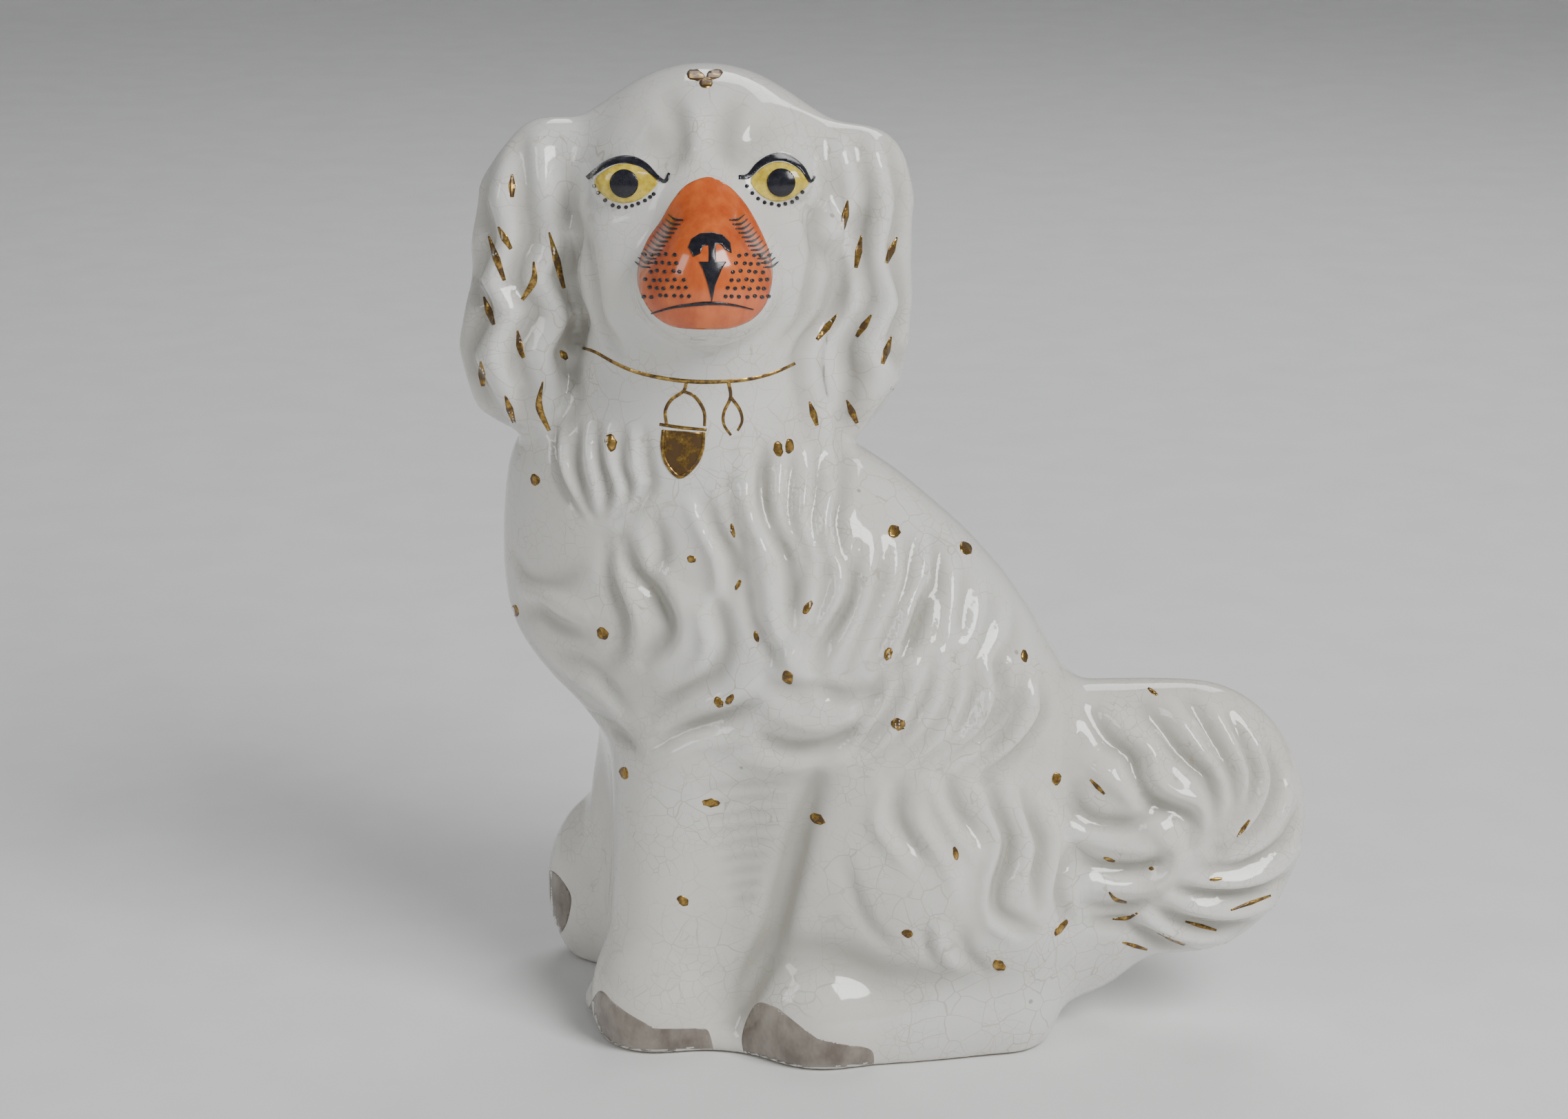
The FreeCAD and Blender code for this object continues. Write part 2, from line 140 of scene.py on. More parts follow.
# Torso: height, leftmost X, rightmost X, half-depth and Y of the middle.
TORSO = (
    (0, -99, 50, 46, 3), (30, -97, 55, 49, 3), (60, -94, 57, 50, 3), (80, -95, 58, 50, 3),
    (98, -98, 60, 50, 3), (105, -103, 61, 50, 3), (112, -109, 61.5, 50, 3), (118, -115.5, 61, 50, 3),
    (125, -121, 58, 50, 3), (133, -126, 53, 50, 3), (143, -129, 47.5, 49, 3), (156, -130, 38.5, 48, 3),
    (170, -129.6, 26, 46, 3), (182, -128.4, 12, 44, 3), (191, -127, 1, 42, 3), (200, -124, -14, 39, 2),
    (215, -112, -18, 37, 1), (240, -100, -24, 36, 0), (262, -96, -26, 34, 0),
)
TORSO_TURN = -10.0


def add_torso(body):
    heights = np.array([row[0] for row in TORSO])
    smooth_z = np.arange(0, 263, 1.0)
    kernel = np.exp(-0.5 * (np.arange(-8, 9) / 3.2) ** 2)
    kernel /= kernel.sum()

    def track(column):
        raw = np.interp(smooth_z, heights, [row[column] for row in TORSO])
        padded = np.pad(raw, 8, mode="edge")
        return np.convolve(padded, kernel, mode="valid")

    left, right, depth, middle = (track(c) for c in range(1, 5))
    turn = math.radians(TORSO_TURN)

    def distance(x, y, z):
        at = lambda curve: np.interp(z, smooth_z, curve).astype(np.float32)
        half = (at(right) - at(left)) / 2
        dx, dy = x - (at(right) + at(left)) / 2, y - at(middle)
        u = (dx * math.cos(turn) + dy * math.sin(turn)) / half
        v = (dy * math.cos(turn) - dx * math.sin(turn)) / at(depth)
        around = np.sqrt(u * u + v * v)
        reach = np.sqrt((half * v) ** 2 + (at(depth) * u) ** 2 + 1e-3)
        side = (around - 1) * (half * at(depth)) / reach * around
        side = np.clip(side, -40, 60)
        return np.maximum(side, np.maximum(-z - 4, z - 258))

    body.add((-135, -60, -6), (75, 65, 262), distance, 8.0)


def add_limbs(body):
    body.blob((14, -22, 58), (43, 31, 47), 10)                     # near thigh
    body.blob((14, 36, 58), (43, 31, 47), 10)                      # far thigh
    body.blob((42, -8, 46), (24, 36, 44), 12)                      # rump
    body.limb((-68, -16, 100), (-76, -20, 14), 23, 19, 12)         # near foreleg
    body.limb((-78, 30, 96), (-92, 44, 14), 20, 18, 12)            # far foreleg
    body.blob((-79, -23, 14), (21.5, 20.5, 25), 7)                 # near forepaw
    body.blob((-96, 45, 26), (23, 17, 35), 7)                      # far forepaw
    body.limb((-22, -33, 10), (36, -25, 11), 20.5, 19, 10)         # near hind foot
    body.blob((-24, -35, 13), (23, 20, 23), 6)                     # near hind paw
    body.limb((-20, 46, 10), (36, 40, 11), 20, 19, 10)             # far hind foot
    body.blob((-28, -2, 4), (76, 40, 12), 8)                       # base between the paws


def add_tail(body):
    body.blob((98, -8, 72), (40, 25, 48), 12)
    body.blob((72, -6, 84), (34, 25, 35), 12)
    body.blob((64, -8, 48), (26, 22, 38), 14)


def add_head(body):
    body.blob((-61.5, 0, 277.5), (45, 43, 46), 10)
    body.blob((-61, -4, 250), (39, 35, 30), 12)
    body.blob((-82, -22, 268), (17, 15, 20), 10)                   # cheeks
    body.blob((-40, -22, 268), (17, 15, 20), 10)
    body.blob((-60, -42, 262), (22.5, 24, 18.5), 6)                # muzzle
    body.limb((-60, -31, 291), (-60, -52, 271), 9, 13, 9)          # bridge and nose
    for x in (-84.6, -37.2):
        body.blob(behind(x, 293.5, -31.5), (10.5, 7.5, 7.5), 3.5)  # eyeball
    body.limb((-86, 0, 297), (-111, -2, 293), 10, 11.5, 10)        # skull sloping into the ears
    body.limb((-36, 0, 298), (-9, -2, 291), 10, 11.5, 10)


# Ears: board X, board Z, radius, from the root down.
EARS = {
    "left": ((-108, 300, 12), (-114, 288, 15), (-116, 272, 15.5), (-117, 257, 16), (-119, 241, 17),
             (-118, 230, 14.5), (-112, 221, 9)),
    "right": ((-14, 298, 11), (-10, 287, 12.5), (-11, 272, 13), (-11.5, 257, 14), (-13.5, 241, 15),
              (-15, 230, 13), (-16, 220, 7.5)),
}
EAR_DEPTH = -2.0                     # Y of the middle of both ears

FOOT_LIFT = 0.4                      # the body is cut off level at this height
VENT = (-45, 8)                      # steam hole in the base
VENT_RADIUS, VENT_DEPTH = 4, 9
SLAB = 6.0                           # top of the base
PARTING = 5.0                        # Y where the two pressed halves meet


def add_ears(body):
    for joints in EARS.values():
        points = [(behind(x, z, EAR_DEPTH), radius) for x, z, radius in joints]
        for (a, ra), (b, rb) in zip(points, points[1:]):
            body.limb(a, b, ra * 1.02, rb * 1.02, 7)


def sculpt():
    body = Field((-146, -76, -8), (146, 78, 330), VOXEL)
    add_torso(body)
    add_limbs(body)
    add_tail(body)
    add_head(body)
    add_ears(body)
    body.carve((-150, -80, -12), (150, 80, FOOT_LIFT), lambda x, y, z: z - FOOT_LIFT + 0 * x + 0 * y, 1.5)

    def vent(x, y, z):
        return np.maximum(np.hypot(x - VENT[0], y - VENT[1]) - VENT_RADIUS, z - VENT_DEPTH)

    body.carve((VENT[0] - 5, VENT[1] - 5, -6), (VENT[0] + 5, VENT[1] + 5, 10), vent, 0.8)
    return body


# ---- Coat: strands drawn on the board, carried onto the surface and pressed in or pulled out ----

# Families of locks: one edge, the other edge, how many locks between them, and their relief.
LOCKS = {
    "left ear": (
        ((-126, 303), (-130, 288), (-128, 275), (-133, 262), (-129, 253), (-135, 240), (-132, 228),
         (-124, 217)),
        ((-106, 304), (-103, 288), (-101, 275), (-106, 262), (-99, 250), (-104, 238), (-101, 226),
         (-107, 213)),
        2, 2.2),
    "right ear": (
        ((-23, 304), (-22, 290), (-26, 278), (-19, 266), (-21, 254), (-30, 240), (-31, 228), (-26, 214)),
        ((-4, 305), (1, 290), (1, 280), (-3, 269), (2, 256), (-1, 243), (2, 232), (-10, 215)),
        2, 2.2),
    "breast tufts": (
        ((-109, 216), (-109, 204), (-106, 193), (-100, 186)),
        ((-80, 212), (-79, 203), (-79, 194), (-88, 182)),
        4, 1.5),
    "mane right": (
        ((-41, 204), (-42, 192), (-41, 182), (-34, 172)),
        ((-16, 206), (-18, 194), (-19, 182), (-17, 168)),
        3, 1.6),
    "shoulder": (
        ((-30, 170), (-32, 158), (-36, 146), (-42, 134)),
        ((14, 178), (12, 164), (7, 150), (1, 136)),
        5, 1.5),
    "flank": (
        ((-4, 134), (-8, 122), (-16, 110), (-26, 101)),
        ((48, 130), (48, 118), (40, 106), (28, 96)),
        7, 1.4),
    "loin": (
        ((14, 172), (14, 162), (14, 152), (12, 140)),
        ((40, 150), (38, 144), (34, 138), (30, 130)),
        3, 0.9),
}
LOCK_WAVE = 1.0                      # how far a lock's points wander from the even share
STRAND_DEPTH = 1.5                   # every relief in these lists is deepened by this

# Single strands: relief (negative is a groove), width, then the points.
STRANDS = (
    (-3.6, 4.6, (-25.4, 96), (-28.5, 85), (-31, 77), (-35.5, 58.5), (-39.8, 41.7), (-46.7, 25.7), (-53, 9)),
    (-1.8, 3.0, (-92, 176), (-92, 165), (-88, 152), (-88, 142), (-93, 134)),
    (-2.4, 3.2, (-87, 177), (-83, 167), (-77, 158), (-73, 150), (-74, 143), (-81, 137)),
    (1.6, 3.5, (-82, 178), (-79, 168), (-72, 160), (-68, 151), (-70, 142), (-77, 134)),
    (1.4, 3.5, (-90, 172), (-86, 160), (-83, 150), (-84, 141)),
    (-1.5, 3.0, (-77, 184), (-75, 174), (-77, 166), (-72, 158)),
    (2.0, 3.0, (-66, 189), (-62, 181), (-58, 172), (-57, 163), (-62, 154)),
    (-2.2, 2.8, (-61, 190), (-58, 181), (-53, 171), (-53, 161)),
    (-2.0, 3.2, (-59, 160), (-56, 150), (-55, 141), (-59, 132), (-68, 126), (-79, 118)),
    (1.5, 3.5, (-66, 158), (-62, 149), (-61, 140), (-66, 132), (-75, 127)),
    (1.8, 3.5, (-78, 113), (-66, 120), (-54, 124), (-46, 130)),
    (-2.0, 3.0, (-79, 107), (-69, 113), (-56, 117), (-45, 122)),
    (1.4, 3.5, (-76, 102), (-64, 108), (-52, 110), (-42, 115)),
    (-1.2, 3.5, (-122, 172), (-118, 165), (-110, 163), (-102, 167)),
    (-1.5, 3.5, (-121, 151), (-115, 154), (-109, 149), (-100, 145)),
    (1.2, 4.0, (-120, 160), (-112, 158), (-104, 154), (-97, 152)),
    (-1.2, 3.5, (-108, 138), (-100, 136), (-92, 128), (-88, 121)),
    (1.3, 3.5, (-104, 131), (-96, 126), (-88, 117)),
    (-1.6, 3.0, (-98, 118), (-90, 112), (-84, 106)),
    (1.8, 3.2, (-48, 206), (-48, 196), (-47, 188), (-44, 180), (-41, 170), (-40, 158), (-38, 146),
     (-33, 136)),
    (-1.5, 2.6, (-53, 205), (-54, 196), (-52, 186), (-49, 176), (-48, 164), (-46, 152), (-42, 142),
     (-38, 134)),
    (-1.8, 2.6, (-42, 208), (-42, 196), (-40, 186), (-36, 176), (-34, 164), (-33, 154)),
    (-2.2, 3.0, (-13, 165), (-15, 156), (-23, 146), (-29, 136)),
    (1.8, 3.0, (-18, 163), (-21, 153), (-28, 143), (-33, 134)),
    (1.8, 3.0, (4, 156), (2, 148), (-2, 140), (-8, 132)),
    (-2.0, 3.0, (9, 160), (7, 150), (3, 140), (-3, 131)),
    (-2.4, 3.4, (34, 134), (37, 124), (34, 114), (28, 106)),
    (1.8, 3.2, (29, 136), (30, 125), (26, 115), (18, 106)),
    (-1.8, 3.2, (-44, 111), (-36, 107), (-26, 107), (-14, 112)),
    (2.0, 4.5, (-42, 121), (-34, 117), (-24, 115), (-12, 119)),
    (-1.6, 3.4, (-40, 128), (-28, 127), (-16, 124), (-6, 126)),
    (1.6, 4.0, (-50, 103), (-40, 101), (-28, 101), (-14, 104)),
    (1.6, 3.0, (11, 95), (15, 86), (20, 77), (26, 69)),
    (-1.6, 2.8, (17, 95), (21, 85), (27, 76)),
    (1.9, 3.0, (26, 94), (30, 84), (33, 75), (31, 64), (30, 54), (32, 46), (40, 40)),
    (-2.6, 3.2, (31, 94), (34, 85), (38, 76), (37, 66), (34, 58), (34, 50), (38, 46), (45, 42)),
    (1.7, 3.2, (38, 92), (41, 80), (43, 70), (42, 60), (42, 52)),
    (-2.0, 2.8, (42, 90), (46, 81), (49, 72), (47, 61), (48, 52)),
    (1.6, 3.0, (48, 88), (52, 78), (52, 68), (51, 56)),
    (-1.8, 2.8, (58, 70), (55, 61), (56, 52), (59, 45)),
    (-1.2, 2.6, (11, 42), (12, 36), (17, 30)),
    (1.2, 2.6, (15, 42), (16, 34), (22, 28)),
    (-1.2, 2.6, (23, 42), (25, 34), (31, 27)),
    (-1.6, 7.0, (-48, 24), (-42, 30), (-32, 34), (-18, 32), (-4, 26), (10, 24), (28, 25)),
    (-1.0, 3.0, (-16, 66), (-13, 55), (-8, 44), (0, 36)),
    (1.5, 3.2, (-4, 92), (-6, 82), (-2, 74), (4, 66)),
    (-1.5, 2.8, (2, 94), (1, 84), (5, 75), (11, 67)),
    (1.3, 3.2, (8, 92), (8, 82), (13, 72), (18, 64), (20, 54)),
    (-2.4, 3.2, (64, 118), (69, 110), (76, 104), (79, 95), (84, 88), (92, 85), (98, 80), (97, 73)),
    (2.2, 3.5, (70, 118), (76, 111), (83, 105), (85, 97), (91, 91), (99, 88), (102, 80), (100, 73)),
    (-2.2, 3.0, (80, 121), (86, 114), (91, 107), (97, 101), (102, 96), (104, 88), (104, 80), (101, 74)),
    (1.8, 3.0, (88, 122), (94, 113), (99, 106), (105, 99), (108, 90), (107, 80)),
    (-2.0, 2.8, (95, 123), (101, 113), (106, 104), (110, 95), (111, 86), (107, 77)),
    (1.8, 2.8, (103, 120), (108, 111), (112, 103), (114, 94), (113, 84), (108, 75)),
    (-2.2, 2.8, (108, 117), (113, 108), (117, 99), (116, 89), (112, 79), (106, 72)),
    (1.8, 2.8, (115, 111), (119, 102), (120, 93), (117, 83), (110, 73)),
    (-1.8, 2.6, (121, 106), (124, 96), (122, 86), (116, 76), (107, 69)),
    (1.7, 2.8, (128, 96), (127, 86), (121, 75), (110, 67)),
    (-1.8, 2.6, (132, 84), (127, 73), (116, 66), (103, 64)),
    (1.7, 2.8, (132, 70), (122, 62), (110, 59), (97, 60)),
    (-2.0, 2.8, (130, 61), (118, 56), (105, 55), (93, 57)),
    (1.8, 2.8, (126, 52), (113, 49), (101, 50), (90, 54)),
    (-2.0, 2.8, (119, 45), (107, 43), (96, 45), (87, 50)),
    (1.8, 2.8, (110, 39), (99, 40), (90, 43), (81, 48)),
    (-1.8, 2.8, (98, 35), (89, 38), (81, 42), (72, 45)),
    (2.0, 4.0, (80, 80), (86, 78), (91, 73), (92, 66), (88, 59), (84, 52)),
    (-2.2, 3.4, (58, 92), (60, 85), (67, 80), (77, 80), (85, 84)),
    (2.2, 4.5, (64, 101), (69, 97), (75, 93), (79, 88)),
    (-2.2, 3.0, (60, 71), (65, 66), (74, 64), (84, 65), (92, 70)),
    (2.0, 4.0, (62, 77), (70, 74), (79, 72), (86, 72)),
    (1.8, 3.4, (64, 58), (73, 58), (82, 58), (88, 61)),
    (-1.8, 2.6, (63, 51), (71, 50), (80, 51), (86, 55)),
    (-1.6, 2.4, (64, 46), (72, 45), (80, 47)),
    (-1.5, 4.0, (-72, 320), (-69, 312), (-68, 304), (-73, 298)),
    (-1.5, 4.0, (-51, 320), (-53, 312), (-53, 304), (-49, 299)),
    (1.0, 3.5, (-64, 316), (-63, 308), (-64, 302)),
    (-1.0, 5.0, (-80, 309), (-75, 306), (-70, 302)),
    (-1.0, 5.0, (-38, 310), (-44, 307), (-50, 302)),
    (-1.4, 3.0, (-98, 280), (-96, 264), (-94, 250), (-88, 240)),
    (-1.4, 3.0, (-24, 280), (-27, 264), (-30, 250), (-36, 242)),
)
FEATHER_ROWS = 9                     # fine combed rows behind the foreleg
BEADS = ((-53, 201), (-51, 191), (-48, 182), (-46, 172), (-44, 163), (-43, 154), (-38, 146), (-35, 138),
         (-31, 130), (-38, 134), (-26, 125), (3, 137), (14, 138), (20, 143), (5, 131))
BEAD_SIZE, BEAD_RISE = 4.0, 1.5
DEEPEST, HIGHEST = -6.0, 4.5         # limits on how far the coat moves the surface


def smooth_line(points, step=1.2):
    """A Catmull-Rom curve through points, sampled evenly."""
    points = np.array(points, dtype=float)
    padded = np.vstack((2 * points[0] - points[1], points, 2 * points[-1] - points[-2]))
    out = []
    for p0, p1, p2, p3 in zip(padded, padded[1:], padded[2:], padded[3:]):
        count = max(2, int(np.linalg.norm(p2 - p1) / step))
        t = np.linspace(0, 1, count, endpoint=False)[:, None]
        out.append(0.5 * (2 * p1 + (p2 - p0) * t + (2 * p0 - 5 * p1 + 4 * p2 - p3) * t ** 2
                          + (3 * p1 - p0 - 3 * p2 + p3) * t ** 3))
    return np.vstack(out + [points[-1:]])


class Skin:
    """The sculpted surface, for carrying drawn points onto it."""

    def __init__(self, points, quads):
        self.tree = BVHTree.FromPolygons(points.tolist(), quads.tolist())

    def drawn(self, x, z):
        """The point and normal where the sight line through a board point meets the figure, or None."""
        aim = Vector(on_board(x, z) - EYE).normalized()
        place, normal, _, _ = self.tree.ray_cast(Vector(EYE), aim)
        return (place, normal) if place else None

    def from_behind(self, x, z):
        place, normal, _, _ = self.tree.ray_cast(Vector((x, 200, z)), Vector((0, -1, 0)))
        return (place, normal) if place else None


def family(first, last, count, relief, rng):
    """Grooves between locks and ridges along them, shared out between two edges."""
    first, last = np.array(first, dtype=float), np.array(last, dtype=float)
    width = np.linalg.norm(last.mean(axis=0) - first.mean(axis=0)) / count
    strands = []
    for index in range(2 * count + 1):
        share = index / (2 * count)
        line = first + (last - first) * share
        wander = [[rng.uniform(-1, 1) * LOCK_WAVE, rng.uniform(-1, 1) * LOCK_WAVE] for _ in line]
        line = line + np.array(wander)
        depth = relief * rng.uniform(0.8, 1.2)
        strands.append((-depth if index % 2 == 0 else depth * 0.9, width * 0.36, *line.tolist()))
    return strands


def all_strands():
    rng = random.Random(7)
    strands = list(STRANDS)
    for first, last, count, relief in LOCKS.values():
        strands += family(first, last, count, relief, rng)
    for row in range(FEATHER_ROWS):
        z = 93 - 5 * row
        strands.append((-0.7, 1.9, (-62 + row, z - 2), (-50, z), (-36 - 1.2 * row, z + 1)))
    return strands


def press(points, centres, relief, width):
    """How far each point moves for one strand: a soft ridge or groove that fades at both ends."""
    low, high = centres.min(axis=0) - 3 * width, centres.max(axis=0) + 3 * width
    near = np.where(np.all((points > low) & (points < high), axis=1))[0]
    if not len(near):
        return near, np.zeros(0)
    gap = np.linalg.norm(points[near][:, None, :] - centres[None, :, :], axis=2)
    closest = gap.argmin(axis=1)
    along = closest / max(1, len(centres) - 1)
    fade = np.sqrt(np.clip(np.sin(np.pi * (0.04 + 0.92 * along)), 0, 1))
    return near, relief * fade * np.exp(-(gap.min(axis=1) / width) ** 2)


def surface_normals(points, quads):
    a, b, c, d = (points[quads[:, i]] for i in range(4))
    face = np.cross(c - a, d - b)
    out = np.zeros_like(points)
    for i in range(4):
        np.add.at(out, quads[:, i], face)
    return out / (np.linalg.norm(out, axis=1, keepdims=True) + 1e-9)


def on_face(place):
    """The face's painted side, which isn't carried through to the back of the head."""
    return place.z > 236 and -94 < place.x < -28


def groom(points, quads):
    """Presses the coat's strands into the body on the side shown and, mirrored, on the back, and its beads on
    the side shown only.

    Gives the moved points and how far each one moved.
    """
    skin = Skin(points, quads)
    normals = surface_normals(points, quads)
    shift = np.zeros(len(points))
    for relief, width, *line in all_strands():
        hits = [skin.drawn(x, z) for x, z in smooth_line(line)]
        front = [hit for hit in hits if hit]
        back = [skin.from_behind(hit[0].x, hit[0].z) for hit in front if not on_face(hit[0])]
        for side in (front, [hit for hit in back if hit and hit[0].y > 6]):
            if len(side) > 2:
                centres = np.array([hit[0] for hit in side])
                near, move = press(points, centres, relief * STRAND_DEPTH, width)
                shift[near] += move
    for x, z in BEADS:
        hit = skin.drawn(x, z)
        gap = np.linalg.norm(points - np.array(hit[0]), axis=1)
        shift += BEAD_RISE * np.exp(-(gap / BEAD_SIZE) ** 2)
    above_foot = np.clip((points[:, 2] - 2) / 8, 0, 1)   # the coat fades out towards the foot
    shift = np.clip(shift, DEEPEST, HIGHEST) * above_foot
    return points + normals * shift[:, None], shift


# ---- Meshes ----

def make_object(name, points, faces, material, smooth=True):
    mesh = bpy.data.meshes.new(name)
    mesh.from_pydata((np.asarray(points) * MM).tolist(), [], [list(f) for f in faces])
    mesh.update()
    mesh.materials.append(material)
    mesh.polygons.foreach_set("use_smooth", [smooth] * len(mesh.polygons))
    item = bpy.data.objects.new(name, mesh)
    bpy.context.scene.collection.objects.link(item)
    return item


def hand_in(item, slot, *nodes):
    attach(item, "root")
    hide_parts(*nodes)
    return item


# ---- Materials ----

def new_material(name):
    material = bpy.data.materials.new(name)
    material.use_nodes = True
    nodes = material.node_tree.nodes
    return material, nodes, material.node_tree.links, nodes["Principled BSDF"]


def node(nodes, kind, **values):
    """A shader node with properties by name and inputs by socket name (spaces as underscores)."""
    made = nodes.new(kind)
    for key, value in values.items():
        socket = made.inputs.get(key.replace("_", " "))
        if socket is not None and not hasattr(made, key):
            socket.default_value = value
        else:
            setattr(made, key, value)
    return made


def finish_with(shader, **values):
    """Sets the shader's own sockets by name (spaces as underscores)."""
    for key, value in values.items():
        shader.inputs[key.replace("_", " ")].default_value = value


def noise(nodes, links, coords, scale, detail, **values):
    made = node(nodes, "ShaderNodeTexNoise", Scale=scale, Detail=detail, **values)
    links.new(coords, made.inputs["Vector"])
    return made


def ramp(nodes, links, source, stops):
    """Colours, or greys given as one number, along a value."""
    made = nodes.new("ShaderNodeValToRGB")
    elements = made.color_ramp.elements
    while len(elements) < len(stops):
        elements.new(0.5)
    for element, (place, colour) in zip(elements, stops):
        element.position = place
        element.color = (*colour, 1) if isinstance(colour, tuple) else (colour, colour, colour, 1)
    links.new(source, made.inputs[0])
    return made.outputs[0]


def remap(nodes, links, source, low, high, to_low=0.0, to_high=1.0, kind="LINEAR"):
    """A value carried from one range to another, and held at the ends."""
    made = node(nodes, "ShaderNodeMapRange", interpolation_type=kind)
    for socket, value in zip(made.inputs[1:5], (low, high, to_low, to_high)):
        socket.default_value = value
    links.new(source, made.inputs[0])
    return made.outputs[0]


def combine(nodes, links, operation, first, second):
    made = node(nodes, "ShaderNodeMath", operation=operation)
    links.new(first, made.inputs[0])
    if isinstance(second, float):
        made.inputs[1].default_value = second
    else:
        links.new(second, made.inputs[1])
    return made.outputs[0]


def dimple(nodes, links, shader, height, strength, distance):
    """Small unevenness of the surface, by bump."""
    bump = node(nodes, "ShaderNodeBump", Strength=strength, Distance=distance)
    links.new(height, bump.inputs["Height"])
    links.new(bump.outputs[0], shader.inputs["Normal"])


def object_coords(nodes):
    return nodes.new("ShaderNodeTexCoord").outputs["Object"]


def mix_colour(nodes, links, factor, first, second, blend="MIX"):
    made = nodes.new("ShaderNodeMix")
    made.data_type = "RGBA"
    made.blend_type = blend
    for socket, value in ((made.inputs[0], factor), (made.inputs[6], first), (made.inputs[7], second)):
        if isinstance(value, (float, int)):
            socket.default_value = value
        elif isinstance(value, tuple):
            socket.default_value = (*value, 1)
        else:
            links.new(value, socket)
    return made.outputs[2]


CRAZE = ((115.0, 0.026), (260.0, 0.034))      # cells per metre and line width, coarse and fine
# The third number is how strongly painted shade darkens the glaze in the coat's grooves.
CRAZE_STRENGTH, SPECK_STRENGTH, GROOVE_SHADE = 0.50, 0.5, 0.72
CRAZE_COLOUR, SPECK_COLOUR = (0.36, 0.29, 0.20), (0.16, 0.12, 0.09)
GLAZE_WARM, GLAZE_COLOUR, GLAZE_COOL = (0.685, 0.665, 0.605), (0.735, 0.725, 0.675), (0.75, 0.75, 0.725)


def crazing(nodes, links, coords):
    """Fine crack lines: edges of warped cells, broken up so that they come and go."""
    warp = noise(nodes, links, coords, 60.0, 2.0)
    bent = node(nodes, "ShaderNodeMixRGB", blend_type="LINEAR_LIGHT")
    bent.inputs[0].default_value = 0.004
    links.new(coords, bent.inputs[1])
    links.new(warp.outputs["Color"], bent.inputs[2])
    lines = []
    for scale, width in CRAZE:
        cells = node(nodes, "ShaderNodeTexVoronoi", feature="DISTANCE_TO_EDGE", Scale=scale)
        links.new(bent.outputs[0], cells.inputs["Vector"])
        line = remap(nodes, links, cells.outputs["Distance"], 0.0, width, 1.0, 0.0, "SMOOTHSTEP")
        patch = noise(nodes, links, coords, scale / 4, 2.0)
        mask = remap(nodes, links, patch.outputs["Fac"], 0.42, 0.62)
        lines.append(combine(nodes, links, "MULTIPLY", line, mask))
    return combine(nodes, links, "MAXIMUM", *lines)


def glaze_material():
    """Cream glaze: cloudy, crazed and specked, with painted shade darkening the coat's grooves."""
    material, nodes, links, shader = new_material("cream_glaze")
    coords = object_coords(nodes)
    cloud = noise(nodes, links, coords, 14.0, 5.0, Roughness=0.6).outputs["Fac"]
    tint = ramp(nodes, links, cloud, ((0.3, GLAZE_WARM), (0.5, GLAZE_COLOUR), (0.7, GLAZE_COOL)))
    # Painted shade: the glaze colour is darkened towards grey where the coat was pressed in, in the grooves
    # between locks.
    pressed = node(nodes, "ShaderNodeAttribute", attribute_name="relief")
    depth = remap(nodes, links, pressed.outputs["Fac"], -2.6, 0.4)
    groove_shade = ramp(nodes, links, depth, ((0.0, (0.50, 0.49, 0.45)), (1.0, 1.0)))
    base = mix_colour(nodes, links, GROOVE_SHADE, tint, groove_shade, "MULTIPLY")
    cracks = combine(nodes, links, "MULTIPLY", crazing(nodes, links, coords), CRAZE_STRENGTH)
    cracked = mix_colour(nodes, links, cracks, base, CRAZE_COLOUR)
    cells = node(nodes, "ShaderNodeTexVoronoi", Scale=42.0, Randomness=1.0)
    links.new(coords, cells.inputs["Vector"])
    specks = ramp(nodes, links, cells.outputs["Distance"], ((0.0, 1.0), (0.028, 1.0), (0.04, 0.0)))
    specks = combine(nodes, links, "MULTIPLY", specks, SPECK_STRENGTH)
    links.new(mix_colour(nodes, links, specks, cracked, SPECK_COLOUR), shader.inputs["Base Color"])
    links.new(remap(nodes, links, cloud, 0.0, 1.0, 0.05, 0.12), shader.inputs["Roughness"])
    dimple(nodes, links, shader, noise(nodes, links, coords, 90.0, 3.0).outputs["Fac"], 0.16, 0.0006)
    finish_with(shader, IOR=1.52, Coat_Weight=0.35, Coat_Roughness=0.04, Subsurface_Weight=0.06,
                Subsurface_Radius=(0.004, 0.003, 0.002))
    return material


def clay_material():
    """Bare fired clay, on the cut faces and the underside."""
    material, nodes, links, shader = new_material("fired_clay")
    grain = noise(nodes, links, object_coords(nodes), 220.0, 6.0).outputs["Fac"]
    tint = ramp(nodes, links, grain, ((0.3, (0.50, 0.42, 0.31)), (0.6, (0.70, 0.63, 0.52))))
    links.new(tint, shader.inputs["Base Color"])
    dimple(nodes, links, shader, grain, 0.4, 0.0005)
    finish_with(shader, Roughness=0.85)
    return material


def enamel_material(name, dark, light, scale, rough, stretch=(1, 1, 1), coat=0.5):
    """A brushed enamel: two tones in streaks, thin and thick, under a gloss."""
    material, nodes, links, shader = new_material(name)
    mapping = node(nodes, "ShaderNodeMapping")
    mapping.inputs["Scale"].default_value = stretch
    links.new(object_coords(nodes), mapping.inputs["Vector"])
    streak = noise(nodes, links, mapping.outputs[0], scale, 4.0, Roughness=0.6).outputs["Fac"]
    links.new(ramp(nodes, links, streak, ((0.35, dark), (0.65, light))), shader.inputs["Base Color"])
    dimple(nodes, links, shader, streak, 0.12, 0.0002)
    finish_with(shader, Roughness=rough, Coat_Weight=coat, Coat_Roughness=0.06)
    return material


